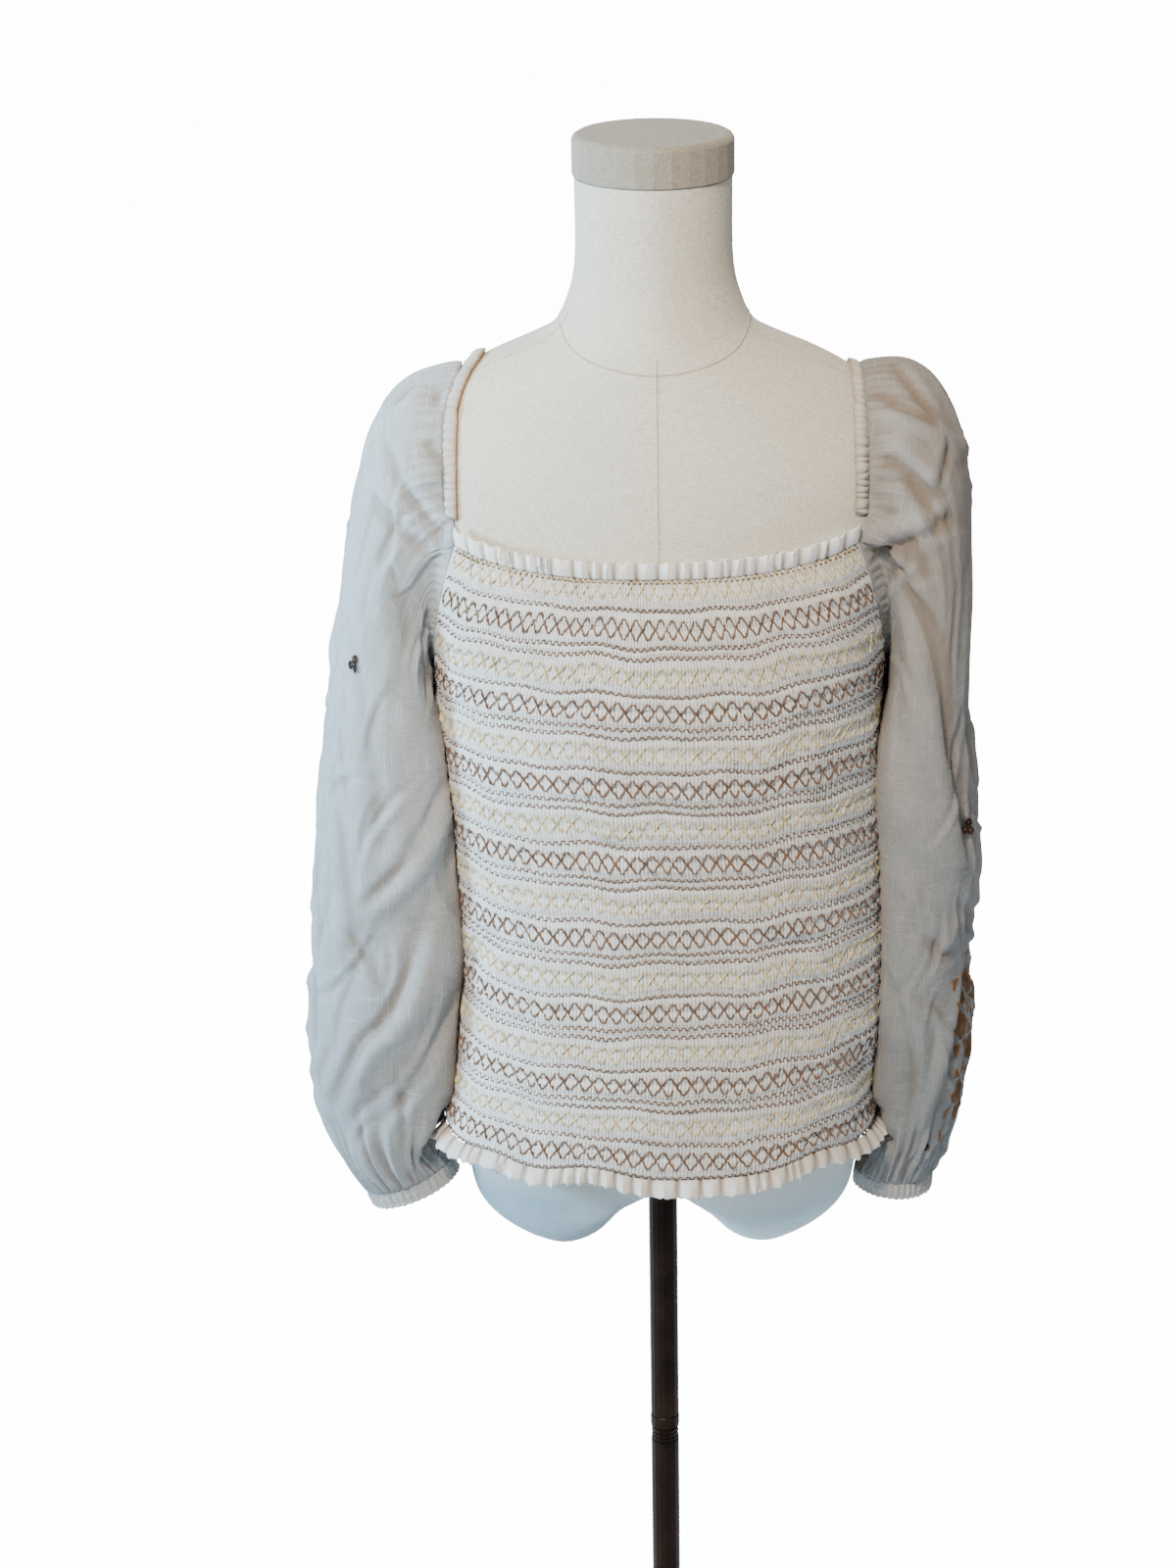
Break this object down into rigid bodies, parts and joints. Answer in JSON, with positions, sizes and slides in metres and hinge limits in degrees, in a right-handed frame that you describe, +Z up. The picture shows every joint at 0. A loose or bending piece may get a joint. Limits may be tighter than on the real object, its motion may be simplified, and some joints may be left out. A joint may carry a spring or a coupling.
{
  "type": "peasant blouse on dress form",
  "caption": "Peasant blouse with a smocked elastic body, square ruffled neckline and full gathered sleeves, on a limbless dress form with a pole stand.",
  "frame": {"origin": "middle of the stand base's underside, on the floor", "axes": "+Z up along the stand's pole; the blouse's front faces -Y; +X is the wearer's left"},
  "size_m": [0.4943, 0.34, 1.3848],
  "materials": {
    "smocked_cotton": "white cotton smocked over elastic, matte",
    "ruffle_cotton": "white cotton, gathered, matte",
    "slub_cotton": "white slub cotton voile, semi-sheer, matte with a soft sheen",
    "casing_cotton": "white cotton gathered over elastic, matte",
    "form_linen": "cream linen stretched over the form, matte",
    "cap_linen": "beige linen over a flat cap, matte",
    "stand_bronze": "dark bronze brown, satin"
  },
  "bodies": {
    "root": {"form_torso": "form_linen", "form_cap": "cap_linen", "stand_upper_pole": "stand_bronze", "stand_ferrule": "stand_bronze", "stand_lower_pole": "stand_bronze", "stand_base": "stand_bronze", "front_panel": "smocked_cotton", "back_panel": "smocked_cotton", "neck_ruffle_front": "ruffle_cotton", "neck_ruffle_back": "ruffle_cotton", "hem_ruffle_front": "ruffle_cotton", "hem_ruffle_back": "ruffle_cotton", "neck_casing_right": "casing_cotton", "neck_casing_left": "casing_cotton", "sleeve_right": "slub_cotton", "sleeve_left": "slub_cotton", "cuff_right": "slub_cotton", "cuff_left": "slub_cotton"}
  },
  "joints": []
}
